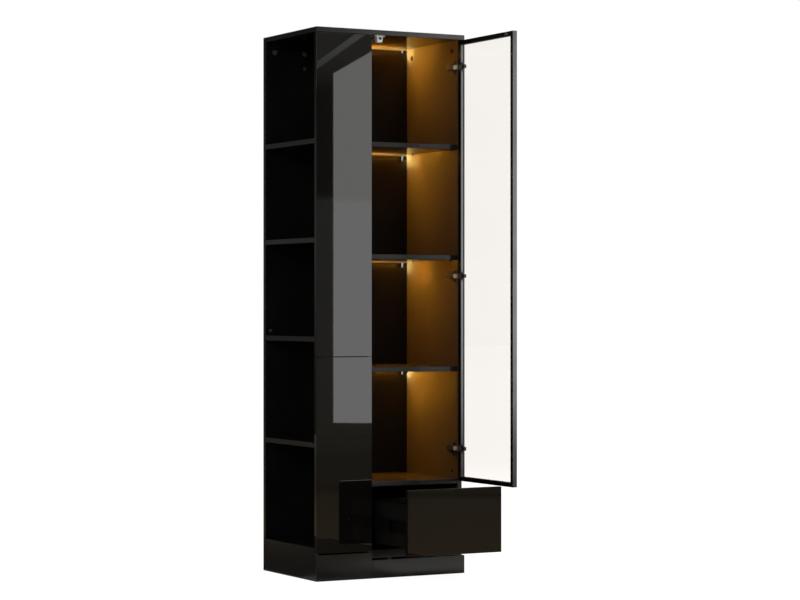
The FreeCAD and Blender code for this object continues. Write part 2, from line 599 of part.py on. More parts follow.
# ---- drawer, drawn shut ----
def drawer():
    nodes = {}
    x0 = CABINET_X0 + SLIDE_SPACE
    x1 = CABINET_X1 - SLIDE_SPACE
    y0 = FRONT
    y1 = BOX_BACK
    z0, z1 = BOX_BOTTOM_Z, BOX_TOP_Z
    floor_z = z0 + BOX_FLOOR_LIFT
    nodes["drawer_front"] = board(DOOR_X0, DOOR_X1, 0, FRONT, DRAWER_BOTTOM_Z, DRAWER_TOP_Z)
    nodes["drawer_side_left"] = block(x0, x0 + BOX_WALL, y0, y1, z0, z1)
    nodes["drawer_side_right"] = block(x1 - BOX_WALL, x1, y0, y1, z0, z1)
    nodes["drawer_back"] = block(x0 + BOX_WALL, x1 - BOX_WALL, y1 - BOX_WALL, y1, z0, z1)
    bottom = block(x0 + BOX_WALL - BOX_GROOVE, x1 - BOX_WALL + BOX_GROOVE,
                   y0, y1 - BOX_WALL + BOX_GROOVE, floor_z, floor_z + BOX_FLOOR)
    nodes["drawer_bottom"] = bottom
    for name in ("drawer_side_left", "drawer_side_right", "drawer_back"):
        add_hole(name, bottom)
    for z in (z0 + BOX_DOWEL_LOW, z1 - BOX_DOWEL_HIGH):
        for name, x, into in (("drawer_side_left", x0 + BOX_WALL / 2, 1),
                              ("drawer_side_right", x1 - BOX_WALL / 2, -1)):
            dowel("drawer_front", name, Vector(x, y0, z), (0, 1, 0), "drawer_dowels")
            dowel(name, "drawer_back", Vector(x + into * BOX_WALL / 2, y1 - BOX_WALL / 2, z),
                  (into, 0, 0), "drawer_dowels")
    return nodes


def slide_member(wall_x, side, web, lip_from, lip_to, half):
    """C-shaped member along y; distances are taken from the cabinet wall, towards the drawer."""
    def bar(near, far, low, high):
        xs = sorted((wall_x + side * near, wall_x + side * far))
        return block(xs[0], xs[1], SLIDE_FRONT, SLIDE_BACK, SLIDE_Z + low, SLIDE_Z + high)

    return fused([bar(web, web + SLIDE_METAL, -half, half),
                  bar(lip_from, lip_to, half - SLIDE_METAL, half),
                  bar(lip_from, lip_to, -half, SLIDE_METAL - half)])


def slides():
    """Three nested members on each side of the drawer, with the screws of the outer two."""
    stations = (SLIDE_FRONT + SLIDE_SCREW_INSET, (SLIDE_FRONT + SLIDE_BACK) / 2,
                SLIDE_BACK - SLIDE_SCREW_INSET)
    middle_half = SLIDE_HALF - SLIDE_METAL - SLIDE_PLAY
    inner_half = middle_half - SLIDE_METAL - SLIDE_PLAY
    inner_web = SLIDE_SPACE - SLIDE_METAL
    for wall_x, side, wall, box in (
            (CABINET_X0, 1, "centre_divider", "drawer_side_left"),
            (CABINET_X1, -1, "right_side_panel", "drawer_side_right")):
        add_to("slide_outer_members", slide_member(wall_x, side, 0, 0, OUTER_LIP, SLIDE_HALF))
        add_to("slide_middle_members",
               slide_member(wall_x, side, MIDDLE_WEB_AT, MIDDLE_WEB_AT,
                            MIDDLE_WEB_AT + MIDDLE_LIP, middle_half))
        add_to("slide_inner_members",
               slide_member(wall_x, side, inner_web, SLIDE_SPACE - INNER_LIP, SLIDE_SPACE,
                            inner_half))
        for y in stations:
            screw("slide_outer_members", wall,
                  Vector(wall_x + side * SLIDE_METAL, y, SLIDE_Z), (side, 0, 0))
            screw("slide_inner_members", box,
                  Vector(wall_x + side * inner_web, y, SLIDE_Z), (-side, 0, 0),
                  "drawer_screws")


# ---- assembly ----
DOOR_NODES = ("door_hinge_stile", "door_free_stile", "door_top_rail", "door_bottom_rail",
              "door_corner_keys", "door_glass", "glass_gasket", "latch_strike", "hinge_cups",
              "hinge_pins")
DRAWER_NODES = ("drawer_front", "drawer_side_left", "drawer_side_right", "drawer_back",
                "drawer_bottom", "drawer_dowels", "drawer_screws", "slide_inner_members")


def finished(name, shape):
    """Solid or group of solids with its holes cut, moved to the rest pose and the origin."""
    solids = shape if isinstance(shape, list) else [shape]
    tools = holes.get(name, [])
    if tools:
        solids = [solid.cut(tools) for solid in solids]
    result = Part.makeCompound(solids) if len(solids) > 1 else solids[0]
    result = result.copy()
    if name in DOOR_NODES:
        result.rotate(PIVOT, UP, DOOR_REST_ANGLE)
    if name in DRAWER_NODES:
        result.translate(Vector(0, -DRAWER_REST_TRAVEL, 0))
    if name == "slide_middle_members":
        result.translate(Vector(0, -DRAWER_REST_TRAVEL / 2, 0))
    result.translate(ORIGIN_SHIFT)
    return result


def main():
    nodes = {}
    for build in (side_unit, cabinet, base, door, touch_latch, drawer):
        nodes.update(build())
    lights()
    hinges()
    slides()
    nodes.update(groups)
    os.makedirs("parts", exist_ok=True)
    for name, shape in nodes.items():
        finished(name, shape).exportStep(f"parts/{name}.step")


main()
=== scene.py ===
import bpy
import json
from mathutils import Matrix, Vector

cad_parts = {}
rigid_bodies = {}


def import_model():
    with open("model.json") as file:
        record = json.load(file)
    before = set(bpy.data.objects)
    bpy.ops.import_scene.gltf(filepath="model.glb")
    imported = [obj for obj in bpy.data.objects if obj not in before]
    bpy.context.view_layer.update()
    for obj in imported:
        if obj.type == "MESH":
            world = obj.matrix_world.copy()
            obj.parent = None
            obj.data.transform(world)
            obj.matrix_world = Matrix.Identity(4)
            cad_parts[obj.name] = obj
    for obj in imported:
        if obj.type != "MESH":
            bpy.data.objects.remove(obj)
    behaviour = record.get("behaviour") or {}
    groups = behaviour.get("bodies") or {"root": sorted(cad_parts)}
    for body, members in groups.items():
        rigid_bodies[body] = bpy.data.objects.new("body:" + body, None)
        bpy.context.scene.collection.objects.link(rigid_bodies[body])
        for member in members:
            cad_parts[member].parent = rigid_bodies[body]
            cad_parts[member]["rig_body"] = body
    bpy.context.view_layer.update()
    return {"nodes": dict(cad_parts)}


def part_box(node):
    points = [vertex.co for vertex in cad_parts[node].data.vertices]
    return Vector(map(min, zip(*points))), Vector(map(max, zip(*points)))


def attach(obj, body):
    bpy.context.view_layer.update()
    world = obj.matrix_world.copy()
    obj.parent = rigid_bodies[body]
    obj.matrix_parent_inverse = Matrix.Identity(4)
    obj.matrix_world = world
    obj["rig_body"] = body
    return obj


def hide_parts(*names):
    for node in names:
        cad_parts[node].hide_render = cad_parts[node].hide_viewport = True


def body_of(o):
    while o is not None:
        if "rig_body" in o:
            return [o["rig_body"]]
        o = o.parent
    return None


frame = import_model()

import json
import math

import bmesh
import bpy
import numpy as np
from bpy.props import FloatProperty, FloatVectorProperty, PointerProperty
from mathutils import Vector

bl_info = {
    "name": "Lit bookcase with a glass door",
    "version": (1, 0, 0),
    "blender": (4, 5, 0),
    "location": "3D View > Sidebar > Bookcase",
    "description": "Finishes, fittings, lamps and camera for a tall black bookcase",
    "category": "Object",
}

NODES = frame["nodes"]
INNER_BOARDS = ("top_panel", "right_side_panel", "centre_divider", "drawer_bay_ceiling",
                "cabinet_shelf_1", "cabinet_shelf_2", "cabinet_shelf_3")
BOARDS = INNER_BOARDS + ("rear_upright", "cabinet_back_panel", "side_unit_floor",
                         "drawer_bay_floor", "side_shelf_1", "side_shelf_2", "side_shelf_3",
                         "side_shelf_4", "plinth_front_left", "plinth_front_right",
                         "plinth_side_left", "plinth_rear_rails", "plinth_support_rail")
STAND_INS = {}


# ---------------------------------------------------------------- sizes and colours
def colour(name, description, default):
    return FloatVectorProperty(name=name, description=description, default=default,
                               subtype="COLOR", size=3, min=0.0, max=1.0)


def length(name, description, default):
    return FloatProperty(name=name, description=description, default=default,
                         subtype="DISTANCE", unit="LENGTH", min=0.0)


class BookcaseFinishes(bpy.types.PropertyGroup):
    """Colours and roughnesses of the finishes."""
    board: colour("Board", "Satin black of the carcass boards", (0.0045, 0.0043, 0.0040))
    board_rough: FloatProperty(name="Board roughness", description="Roughness of the satin boards",
                               default=0.20, min=0.0, max=1.0)
    side_rough: FloatProperty(name="Side roughness", description="Roughness of the upright boards",
                              default=0.46, min=0.0, max=1.0)
    gloss: colour("Gloss front", "Black under the lacquer of the fronts", (0.0034, 0.0031, 0.0026))
    gloss_rough: FloatProperty(name="Gloss roughness", description="Roughness of the lacquer",
                               default=0.014, min=0.0, max=1.0)
    frame: colour("Door frame", "Black anodised aluminium", (0.082, 0.082, 0.083))
    glass: colour("Glass", "Tint of the pane", (0.975, 0.945, 0.905))
    steel: colour("Hinge steel", "Nickel-plated steel", (0.60, 0.58, 0.55))
    slide: colour("Slide steel", "Black zinc on the drawer slides", (0.018, 0.018, 0.019))
    zinc: colour("Zinc", "Bright zinc of screws and pins", (0.52, 0.52, 0.53))
    # On the feed ends this white, glowing, is painted light of the strip on dark blocks.
    white: colour("White plastic", "Latch and feed end", (0.93, 0.92, 0.90))
    light: colour("Lamp light", "Warm light of the strips", (1.0, 0.385, 0.028))


class BookcaseSizes(bpy.types.PropertyGroup):
    """Small sizes of the fittings."""
    board_round: length("Board edge", "Rounding of the edge band of a board", 0.0004)
    plinth_round: length("Plinth edge", "Rounding where the plinth boards meet", 0.0012)
    front_round: length("Front edge", "Rounding of a lacquered front's edges", 0.0007)
    frame_round: length("Frame edge", "Rounding of the door profile's edges", 0.0005)
    steel_round: length("Steel edge", "Rounding of pressed and cast fittings", 0.0004)
    slide_round: length("Slide edge", "Rounding of the rolled slide members", 0.0002)
    cup_dark: length("Cup's black part", "Height of a hinge cup's black middle above its pin",
                     0.0065)
    block_round: length("Feed block edge", "Rounding of a feed end's block", 0.0012)
    plate_thick: length("Feed plate", "Thickness of a feed end's plate", 0.0012)


class BookcaseStage(bpy.types.PropertyGroup):
    """Camera, floor and lamps."""
    lens: FloatProperty(name="Lens", description="Focal length of the camera", default=109.70,
                        subtype="DISTANCE_CAMERA", unit="CAMERA", min=1.0)
    shift: FloatProperty(name="Shift", description="Upward shift of the lens", default=0.00753)
    turn: FloatProperty(name="Turn", description="Heading of the camera", subtype="ANGLE",
                        unit="ROTATION", default=math.radians(-28.672))
    eye: FloatVectorProperty(name="Eye", description="Place of the camera", size=3,
                             subtype="TRANSLATION", unit="LENGTH",
                             default=(-3.8275, -7.2560, 0.8936))
    sky: FloatProperty(name="Sky", description="Soft light from all round", default=0.40, min=0.0)
    panel_light: FloatProperty(name="Panel light", description="Brightness of the tall light",
                               default=3.1, min=0.0)
    strip_watts: FloatProperty(name="Strip power", description="Power of one strip on the boards",
                               subtype="POWER", unit="POWER", default=41.0, min=0.0)


def settings():
    scene = bpy.context.scene
    return scene.bookcase_finishes, scene.bookcase_sizes, scene.bookcase_stage


# ---------------------------------------------------------------- materials
DIODE_PITCH = 0.0083
# Places along X where a shelf's sheen fades out, a painted shade of the door's stile, and along Y
# where a hinge arm goes from painted shade to painted highlight.
SHELF_STILE_SHADE = (0.230, 0.234)
ARM_SHADE_TO_HIGHLIGHT = (-0.187, -0.185)


class Finish:
    """A Principled material with helpers that add and link nodes."""

    def __init__(self, name, base, rough, metal=0.0, **sockets):
        self.material = bpy.data.materials.new(name)
        self.material.use_nodes = True
        self.tree = self.material.node_tree
        self.shader = self.tree.nodes["Principled BSDF"]
        self.set("Base Color", (*base, 1.0))
        self.set("Roughness", rough)
        self.set("Metallic", metal)
        for socket, value in sockets.items():
            self.set(socket.replace("_", " "), value)
        self.place = self.tree.nodes.new("ShaderNodeTexCoord").outputs["Object"]
        self.normal = None

    def set(self, socket, value):
        self.shader.inputs[socket].default_value = value

    def add(self, kind, inputs=(), **values):
        node = self.tree.nodes.new(kind)
        for name, value in values.items():
            setattr(node, name, value)
        for socket, value in dict(inputs).items():
            if isinstance(value, bpy.types.NodeSocket):
                self.tree.links.new(value, node.inputs[socket])
            else:
                node.inputs[socket].default_value = value
        return node

    def link(self, output, socket):
        self.tree.links.new(output, self.shader.inputs[socket])

    def part(self, axis):
        """One of the piece's own coordinates."""
        return self.add("ShaderNodeSeparateXYZ", {"Vector": self.place}).outputs[axis]

    def noise(self, scale, detail=2.0, roughness=0.5, stretch=(1, 1, 1)):
        """Noise on the piece's own coordinates, in cells per metre."""
        spread = self.add("ShaderNodeMapping", {"Vector": self.place, "Scale": stretch})
        node = self.add("ShaderNodeTexNoise", {"Vector": spread.outputs["Vector"], "Scale": scale,
                                               "Detail": detail, "Roughness": roughness})
        return node.outputs["Fac"]

    def spread(self, value, low, high, start=0.3, end=0.7):
        """The value between start and end spread out between low and high."""
        return self.add("ShaderNodeMapRange", {"Value": value, "From Min": start, "From Max": end,
                                               "To Min": low, "To Max": high}).outputs["Result"]

    def vary_rough(self, value, low, high):
        self.link(self.spread(value, low, high), "Roughness")

    def vary_colour(self, value, first, second, start=0.3, end=0.7):
        ramp = self.add("ShaderNodeMix", {"Factor": self.spread(value, 0, 1, start, end)},
                        data_type="RGBA")
        ramp.inputs[6].default_value = (*first, 1)
        ramp.inputs[7].default_value = (*second, 1)
        self.link(ramp.outputs[2], "Base Color")

    def bump(self, value, strength, distance):
        extra = {} if self.normal is None else {"Normal": self.normal}
        node = self.add("ShaderNodeBump", {"Height": value, "Strength": strength,
                                           "Distance": distance, **extra})
        self.normal = node.outputs["Normal"]
        self.link(self.normal, "Normal")


def shade(rgb, factor):
    return tuple(min(1.0, channel * factor) for channel in rgb)


def satin_board(name, base, rough, **sockets):
    """Satin melamine: a fine pressed pore over a faint cloud, with a slightly uneven sheen."""
    finish = Finish(name, base, rough, **sockets)
    cloud = finish.noise(7.0, 3.0)
    pores = finish.noise(1500.0, 1.0, stretch=(1, 1, 0.35))
    finish.vary_colour(cloud, shade(base, 0.85), shade(base, 1.2))
    finish.vary_rough(cloud, rough - 0.04, rough + 0.05)
    finish.bump(pores, 0.05, 0.0002)
    return finish


def shelf_finish(finishes):
    """Satin board whose sheen fades out at its right end, beside the open door's stile: painted
    shade of the stile.
    """
    finish = satin_board("shelf_board_with_painted_shade", finishes.board, finishes.board_rough)
    # The sheen falls away past these places: painted shade of the door's stile.
    stile_shade = finish.spread(finish.part("X"), 0.15, 0.01, *SHELF_STILE_SHADE)
    finish.link(stile_shade, "Specular IOR Level")
    return finish.material


def gloss_finish(finishes):
    """Polished lacquer: mirror smooth, with the faintest ripple and dulling."""
    finish = Finish("gloss_black_lacquer", finishes.gloss, finishes.gloss_rough)
    cloud = finish.noise(5.0, 2.0)
    finish.vary_colour(cloud, shade(finishes.gloss, 0.9), shade(finishes.gloss, 1.15))
    finish.vary_rough(finish.noise(60.0, 3.0), finishes.gloss_rough * 0.7,
                      finishes.gloss_rough * 1.4)
    finish.bump(finish.noise(45.0, 1.0), 0.004, 0.0005)
    return finish.material


def frame_finish(finishes):
    """Black anodised aluminium with drawn lines along the profile."""
    finish = Finish("black_anodised_frame", finishes.frame, 0.22, 1.0)
    lines = finish.noise(2200.0, 1.0, stretch=(1, 1, 0.01))
    finish.vary_colour(finish.noise(9.0), shade(finishes.frame, 0.92), shade(finishes.frame, 1.08))
    finish.vary_rough(lines, 0.18, 0.27)
    finish.bump(lines, 0.03, 0.0001)
    return finish.material


def glass_finish(finishes):
    """Clear pane with a faint warm tint and hardly visible wiping marks."""
    finish = Finish("warm_clear_glass", finishes.glass, 0.0, Transmission_Weight=1.0, IOR=1.22,
                    Specular_IOR_Level=0.05)
    finish.vary_rough(finish.noise(14.0, 4.0, stretch=(1, 1, 0.4)), 0.0, 0.012)
    return finish.material


def metal_finish(name, base, rough, grain):
    """Plated metal: a slightly uneven plate over a fine rolled grain."""
    finish = Finish(name, base, rough, 1.0)
    lines = finish.noise(grain, 2.0, stretch=(1, 0.15, 1))
    finish.vary_colour(finish.noise(160.0, 2.0), shade(base, 0.88), shade(base, 1.06))
    finish.vary_rough(lines, rough * 0.8, rough * 1.3)
    finish.bump(lines, 0.06, 0.0001)
    return finish.material


def arm_finish(finishes):
    """Nickel-plated arm: painted shade in black on the link that reaches in front of the carcass, a
    painted highlight of bright warm nickel behind it.
    """
    finish = Finish("shade_and_highlight_hinge_steel", finishes.steel, 0.3, 1.0)
    finish.vary_colour(finish.part("Y"), (0.06, 0.06, 0.062), (0.78, 0.71, 0.59), *ARM_SHADE_TO_HIGHLIGHT)
    lines = finish.noise(900.0, 2.0, stretch=(1, 0.15, 1))
    finish.vary_rough(lines, 0.24, 0.38)
    finish.bump(lines, 0.06, 0.0001)
    return finish.material


def plastic_finish(name, base, rough, grain=1600.0, strength=0.08, **sockets):
    """Moulded plastic with a spark-eroded grain."""
    finish = Finish(name, base, rough, **sockets)
    finish.vary_colour(finish.noise(90.0), shade(base, 0.94), shade(base, 1.05))
    finish.vary_rough(finish.noise(420.0), rough * 0.85, rough * 1.15)
    finish.bump(finish.noise(grain, 1.0), strength, 0.0002)
    return finish.material


def wood_finish(name, base):
    """Turned beech: growth lines along the peg and short darker flecks."""
    finish = Finish(name, base, 0.6)
    lines = finish.noise(500.0, 3.0, stretch=(0.12, 0.12, 1))
    finish.vary_colour(lines, shade(base, 0.72), shade(base, 1.08))
    finish.bump(lines, 0.2, 0.0002)
    return finish.material


def lamp_finish():
    """Opal cover lit from behind, a little brighter over each diode."""
    finish = Finish("warm_lit_opal", (0.40, 0.34, 0.22), 0.35,
                    Emission_Color=(1.0, 0.61, 0.155, 1.0))
    phase = finish.add("ShaderNodeMath", {0: finish.part("X"), 1: 2 * math.pi / DIODE_PITCH},
                       operation="MULTIPLY")
    wave = finish.add("ShaderNodeMath", {0: phase.outputs[0]}, operation="SINE")
    lit = finish.add("ShaderNodeAttribute", attribute_name="lit").outputs["Fac"]
    power = finish.add("ShaderNodeMath", {0: finish.spread(wave.outputs[0], 0.85, 1.15, -1.0, 1.0),
                                          1: lit}, operation="MULTIPLY")
    finish.link(power.outputs[0], "Emission Strength")
    return finish.material


FINISHES = {}


def make_finishes():
    finishes = settings()[0]
    FINISHES.update(
        board=satin_board("satin_black_board", finishes.board, finishes.board_rough).material,
        side=satin_board("matt_black_board", finishes.board, finishes.side_rough).material,
        shelf=shelf_finish(finishes),
        # A darker copy of the satin board with a weaker, sharper sheen: painted shade of the open
        # drawer on the drawer bay's floor.
        sheltered=satin_board("sheltered_black_board", shade(finishes.board, 0.6), 0.11,
                              Specular_IOR_Level=0.3).material,
        gloss=gloss_finish(finishes),
        frame=frame_finish(finishes),
        glass=glass_finish(finishes),
        gasket=plastic_finish("black_rubber_gasket", (0.15, 0.15, 0.148), 0.6, 900.0, 0.15),
        steel=metal_finish("nickel_plated_steel", finishes.steel, 0.28, 900.0),
        dark_steel=metal_finish("black_nickel_steel", (0.05, 0.048, 0.045), 0.34, 900.0),
        # Dark warm brown on the hinge plates and shelf pins: painted shade with the strips' amber
        # light in it.
        plate=metal_finish("shaded_amber_nickel_steel", (0.20, 0.165, 0.12), 0.30, 900.0),
        arm=arm_finish(finishes),
        slide=metal_finish("black_zinc_steel", finishes.slide, 0.5, 700.0),
        zinc=metal_finish("bright_zinc_steel", finishes.zinc, 0.34, 1200.0),
        cap=plastic_finish("dark_cap_plastic", (0.004, 0.004, 0.004), 0.5,
                           Specular_IOR_Level=0.04),
        grey_cap=plastic_finish("grey_cap_plastic", (0.036, 0.036, 0.035), 0.45),
        white=plastic_finish("white_moulded_plastic", finishes.white, 0.38),
        # Glowing white plastic: painted light of the strip on the feed ends' dark blocks.
        lit_white=plastic_finish("lit_white_plastic", finishes.white, 0.4,
                                 Emission_Color=(0.9, 0.95, 0.80, 1.0), Emission_Strength=0.4),
        dark=plastic_finish("dark_moulded_plastic", (0.015, 0.015, 0.015), 0.45),
        channel=metal_finish("satin_aluminium_channel", (0.62, 0.62, 0.62), 0.35, 1500.0),
        lamp=lamp_finish(),
        tape=plastic_finish("diode_tape", (0.75, 0.70, 0.55), 0.5),
        peg=wood_finish("turned_beech", (0.58, 0.42, 0.25)),
    )


def dress(key, *names):
    """Put a finish on every material slot of some nodes."""
    for name in names:
        mesh = NODES[name].data
        if not mesh.materials:
            mesh.materials.append(FINISHES[key])
        for index in range(len(mesh.materials)):
            mesh.materials[index] = FINISHES[key]


# ---------------------------------------------------------------- surfaces
def grid(rows, cols, wrap_rows=False, wrap_cols=False, start=0):
    """Four-sided faces between the neighbouring points of a grid, row by row."""
    r, c = np.meshgrid(np.arange(rows if wrap_rows else rows - 1),
                       np.arange(cols if wrap_cols else cols - 1), indexing="ij")
    r1, c1 = (r + 1) % rows, (c + 1) % cols
    faces = np.stack([r * cols + c, r * cols + c1, r1 * cols + c1, r1 * cols + c], -1)
    return faces.reshape(-1, 4) + start


def plain_mesh(name, verts, faces):
    mesh = bpy.data.meshes.new(name)
    mesh.from_pydata(np.asarray(verts, float).tolist(), [], [list(map(int, f)) for f in faces])
    return mesh


def piece(name, body, key, verts, faces, nodes):
    """A mesh from vertices and faces, in metres, that rides a body and stands for nodes."""
    mesh = plain_mesh(name, verts, faces)
    mesh.validate()
    mesh.update()
    mesh.shade_smooth()
    mesh.set_sharp_from_angle(angle=math.radians(35.0))
    mesh.materials.append(FINISHES[key])
    obj = bpy.data.objects.new(name, mesh)
    bpy.context.scene.collection.objects.link(obj)
    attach(obj, body)
    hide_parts(*nodes)
    for node in nodes:
        STAND_INS.setdefault(node, []).append(obj)
    return obj


def joined(parts, near=1e-7):
    """One mesh from (points, four-sided faces) pairs, with points that meet made one."""
    verts = np.concatenate([points for points, faces in parts])
    starts = np.cumsum([0] + [len(points) for points, faces in parts[:-1]])
    faces = np.concatenate([faces + start for (points, faces), start in zip(parts, starts)])
    first, back = np.unique(np.round(verts / near), axis=0, return_index=True,
                            return_inverse=True)[1:]
    faces = back.reshape(-1)[faces]
    same = faces == np.roll(faces, -1, axis=1)
    narrow = same.any(1)
    turn = (same[narrow].argmax(1)[:, None] + np.arange(1, 4)) % 4
    three = np.take_along_axis(faces[narrow], turn, 1)
    return verts[first], faces[~narrow].tolist() + three.tolist()


def frame_of(axis):
    """Two directions square to an axis, so that the three are right-handed."""
    axis = np.asarray(axis, float)
    side = np.cross(axis, np.roll(axis, 1) + (0.0, 0.0, 1e-9))
    side /= np.linalg.norm(side)
    return side, np.cross(axis, side), axis


def turned(profile, centre, axis, turns=32):
    """A turned piece: each (radius, height) of the profile is carried once round the axis."""
    side, other, up = frame_of(axis)
    angle = np.linspace(0, 2 * np.pi, turns, endpoint=False)
    ring = np.cos(angle)[:, None] * side + np.sin(angle)[:, None] * other
    radius, height = np.asarray(profile, float).T
    points = np.asarray(centre) + radius[:, None, None] * ring + height[:, None, None] * up
    return points.reshape(-1, 3), grid(len(radius), turns, wrap_cols=True)


def rounded_block(low, high, radius, steps=4):
    """A block with round edges: rounded rectangles stacked in height.

    Near each end the rectangle is drawn in by radius x (1 - sin t) at a height of
    radius x (1 - cos t), with t from 0 to 90 degrees, and a middle point closes the end.
    """
    low, high = np.asarray(low, float), np.asarray(high, float)
    t = np.linspace(0, np.pi / 2, steps)
    inset = radius * np.concatenate([[1], 1 - np.sin(t), 1 - np.sin(t[::-1]), [1]])
    rise = radius * (1 - np.cos(t))
    z = np.concatenate([[low[2]], low[2] + rise, high[2] - rise[::-1], [high[2]]])
    keep = np.ones(len(z))
    keep[[0, -1]] = 0
    angle = (np.arange(4)[:, None] * np.pi / 2 + t).reshape(-1)
    middle, half = (low + high) / 2, (high - low) / 2
    signs = np.repeat([(1, 1), (-1, 1), (-1, -1), (1, -1)], steps, axis=0)
    around = np.stack([np.cos(angle), np.sin(angle)], -1)
    flat = signs * (half[:2] - radius) + (radius - inset)[:, None, None] * around
    flat = middle[:2] + keep[:, None, None] * flat
    points = np.dstack([flat, np.broadcast_to(z[:, None, None], (*flat.shape[:2], 1))])
    return points.reshape(-1, 3), grid(len(z), 4 * steps, wrap_cols=True)


def drawn_bar(outline, start, end):
    """A bar along X: a closed outline of (y, z) between two ends closed to its middle point."""
    outline = np.asarray(outline, float)
    middle = np.broadcast_to(outline.mean(0), outline.shape)
    rows = [middle, outline, outline, middle]
    points = [np.column_stack([np.full(len(row), x), row])
              for row, x in zip(rows, (start, start, end, end))]
    return np.concatenate(points), grid(4, len(outline), wrap_cols=True)


def cross_head(centre, axis, radius, rise, depth, rings=14, turns=32):
    """A screw's head: a shallow dome with a cross sunk into it.

    Over the disc the height is rise x (1 - (r / R)^2), less depth where the nearer of the two
    bars of the cross is under a ninth of R away, with sloping walls and bars 0.62 R long.
    """
    side, other, up = frame_of(axis)
    r, t = np.meshgrid(np.linspace(0, radius, rings), np.linspace(0, 2 * np.pi, turns,
                       endpoint=False), indexing="ij")
    x, y = r * np.cos(t), r * np.sin(t)
    bar = np.minimum(np.abs(x), np.abs(y)) / (radius / 9)
    reach = r / (0.62 * radius)
    sunk = np.clip(2 - bar, 0, 1) * np.clip((1 - reach) * 6, 0, 1)
    height = rise * (1 - (r / radius) ** 2) - depth * sunk
    height[0] = -depth
    points = np.asarray(centre) + x[..., None] * side + y[..., None] * other \
        + height[..., None] * up
    return points.reshape(-1, 3), grid(rings, turns, wrap_cols=True)[:, ::-1]


def cross_screw(corners, rise=0.00035, depth=0.0007, turns=32):
    """A screw turned from its solid's own outline, with a domed cross head on the wide end.

    The outline is the widest radius at each height along the screw, and the head is one
    `cross_head` whose rim is the last circle of the outline.
    """
    low, high = corners.min(0), corners.max(0)
    along = (high - low).argmax()
    middle = (low + high) / 2
    radius = np.linalg.norm(np.delete(corners - middle, along, 1), axis=1)
    height = corners[:, along]
    tip, end = low[along], high[along]
    if radius[height < tip + 1e-5].max() > radius[height > end - 1e-5].max():
        tip, end = end, tip
    rise_to = np.abs(height - tip)
    levels = np.unique(np.round(np.column_stack([rise_to, radius]), 6), axis=0)
    levels = levels[levels[:, 1] > 0.0002]
    axis = np.eye(3)[along] * np.sign(end - tip)
    foot = middle.copy()
    foot[along] = tip
    profile = np.vstack([(0, 0), levels[:, ::-1]])
    top = foot + axis * levels[-1, 0]
    return [turned(profile, foot, axis, turns),
            cross_head(top, axis, levels[-1, 1], rise, depth, turns=turns)]


def solids_of(node):
    """Lowest and highest corners of each separate solid of a node."""
    return [(corners.min(0), corners.max(0)) for corners in corners_of(node)]


def corners_of(node):
    """Corners of each separate solid of a node, found by giving joined corners one label."""
    verts, faces = own_solid(node)
    label = np.arange(len(verts))
    while True:
        least = label[faces].min(1)
        fresh = label.copy()
        np.minimum.at(fresh, faces.reshape(-1), np.repeat(least, 3))
        if (fresh == label).all():
            break
        label = fresh
    return [verts[label == one] for one in np.unique(label)]


def own_solid(node):
    """Corners and triangles of a node's solid, with corners that coincide made one."""
    mesh = NODES[node].data
    verts = np.empty(len(mesh.vertices) * 3)
    mesh.vertices.foreach_get("co", verts)
    corners = np.empty(len(mesh.loops), int)
    mesh.loops.foreach_get("vertex_index", corners)
    verts = verts.reshape(-1, 3)
    first, back = np.unique(np.round(verts, 6), axis=0, return_index=True, return_inverse=True)[1:]
    return verts[first], back.reshape(-1)[corners].reshape(-1, 3)


def softened(node, key, width, segments=2, smooth=False):
    """A node's own solid with a rounded edge, in one finish, that stands for the node.

    Flat boards stay flat-shaded, because a bent normal would bend what their faces mirror.
    """
    verts, faces = own_solid(node)
    obj = piece(f"{node}_finished", body_of(NODES[node])[0], key, verts, faces, (node,))
    if not smooth:
        obj.data.shade_flat()
    bevel = obj.modifiers.new("soft_edge", "BEVEL")
    bevel.width = width
    bevel.segments = segments
    bevel.limit_method = "ANGLE"
    bevel.angle_limit = math.radians(40)
    bevel.harden_normals = smooth
    return obj


# ---------------------------------------------------------------- stage
ROOM_RADIUS = 9.0
ROOM_TURNS = 64
FLOOR_HALF = 40.0
# Radius and height of the room's wall, which closes in a dome.
WALL_PROFILE = ((9.0, -0.2), (9.0, 4.0), (8.0, 6.0), (5.5, 7.8), (2.5, 8.7), (0.02, 9.0))
# Height and colour of the wall before and behind the bookcase.
WALL_BEFORE = (
    (0.0, (0.25, 0.22, 0.18)), (0.4, (0.26, 0.25, 0.23)), (1.62, (0.28, 0.28, 0.265)),
    (1.66, (0.055, 0.052, 0.045)), (2.38, (0.055, 0.052, 0.045)), (2.62, (0.28, 0.27, 0.24)),
    (4.0, (0.22, 0.22, 0.21)), (8.5, (0.45, 0.45, 0.44)))
WALL_BEHIND = (
    (0.0, (0.05, 0.04, 0.03)), (0.5, (0.07, 0.06, 0.05)), (1.3, (0.19, 0.18, 0.17)),
    (2.0, (0.13, 0.13, 0.12)), (2.7, (0.03, 0.028, 0.025)), (4.0, (0.08, 0.08, 0.07)),
    (8.5, (0.45, 0.45, 0.44)))
# Distance from the middle and colour of the floor mat.
MAT_RINGS = (
    (0.0, (0.60, 0.58, 0.54)), (0.55, (0.52, 0.49, 0.44)), (1.2, (0.34, 0.24, 0.15)),
    (2.6, (0.29, 0.22, 0.14)), (4.2, (0.19, 0.155, 0.10)), (6.5, (0.30, 0.27, 0.21)),
    (8.0, (0.46, 0.43, 0.37)))
